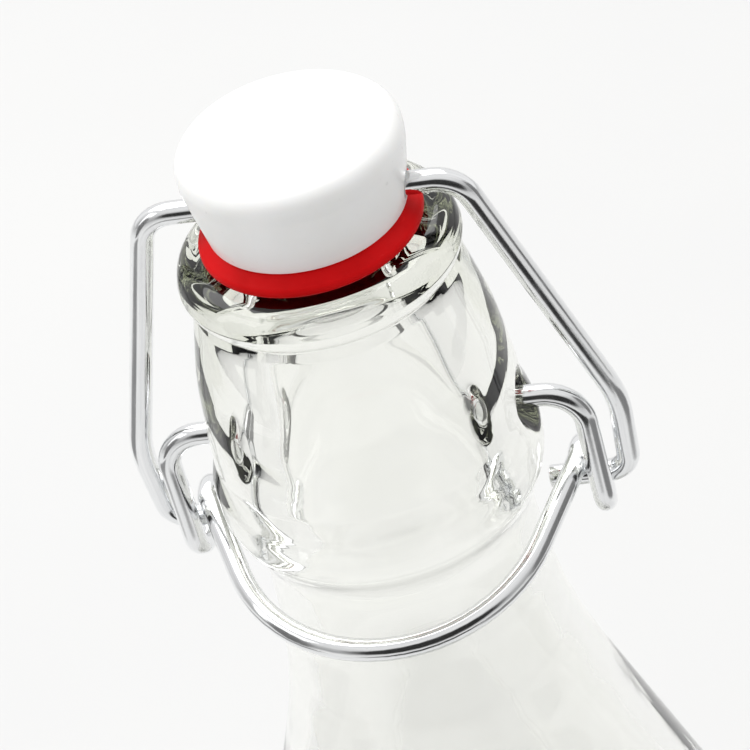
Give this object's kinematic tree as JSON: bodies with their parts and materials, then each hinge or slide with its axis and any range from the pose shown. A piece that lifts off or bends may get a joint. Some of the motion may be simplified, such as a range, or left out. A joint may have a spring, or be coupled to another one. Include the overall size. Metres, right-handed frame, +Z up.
{
  "type": "growler",
  "caption": "Round clear-glass swing-top growler with a lever-and-bail wire closure, plastic stopper and rubber washer.",
  "frame": {"origin": "centre of the bottle's base, on the surface it stands on", "axes": "+Z up along the bottle's axis, X along the lever's pivot axis, -Y towards the front, where the lever's arm reaches"},
  "size_m": [0.09, 0.09, 0.3008],
  "materials": {
    "clear_glass": "clear, fire-polished, slightly wavy",
    "plated_wire": "bright zinc-plated drawn wire with fine draw lines",
    "white_plastic": "satin-gloss moulded white",
    "red_rubber": "smooth semi-matt red"
  },
  "bodies": {
    "bottle": {"glass_bottle": "clear_glass"},
    "lever": {"lever_wire": "plated_wire"},
    "bail": {"bail_wire": "plated_wire"},
    "stopper": {"stopper": "white_plastic", "washer": "red_rubber"}
  },
  "joints": [
    {"name": "lever_pivot", "type": "hinge", "parent": "bottle", "child": "lever", "pos_m": [0, 0, 0.26], "axis": [-1, 0, 0], "range_deg": [0, 90]},
    {"name": "bail_hook", "type": "hinge", "parent": "lever", "child": "bail", "pos_m": [0, 0.0034, 0.2448], "axis": [1, 0, 0], "range_deg": [0, 63]},
    {"name": "stopper_bore", "type": "hinge", "parent": "bail", "child": "stopper", "pos_m": [0, 0, 0.2917], "axis": [1, 0, 0], "range_deg": [0, 27]}
  ],
  "couplings": [
    {"joint": "bail_hook", "follows": "lever_pivot", "ratio": 0.7},
    {"joint": "stopper_bore", "follows": "lever_pivot", "ratio": 0.3}
  ]
}
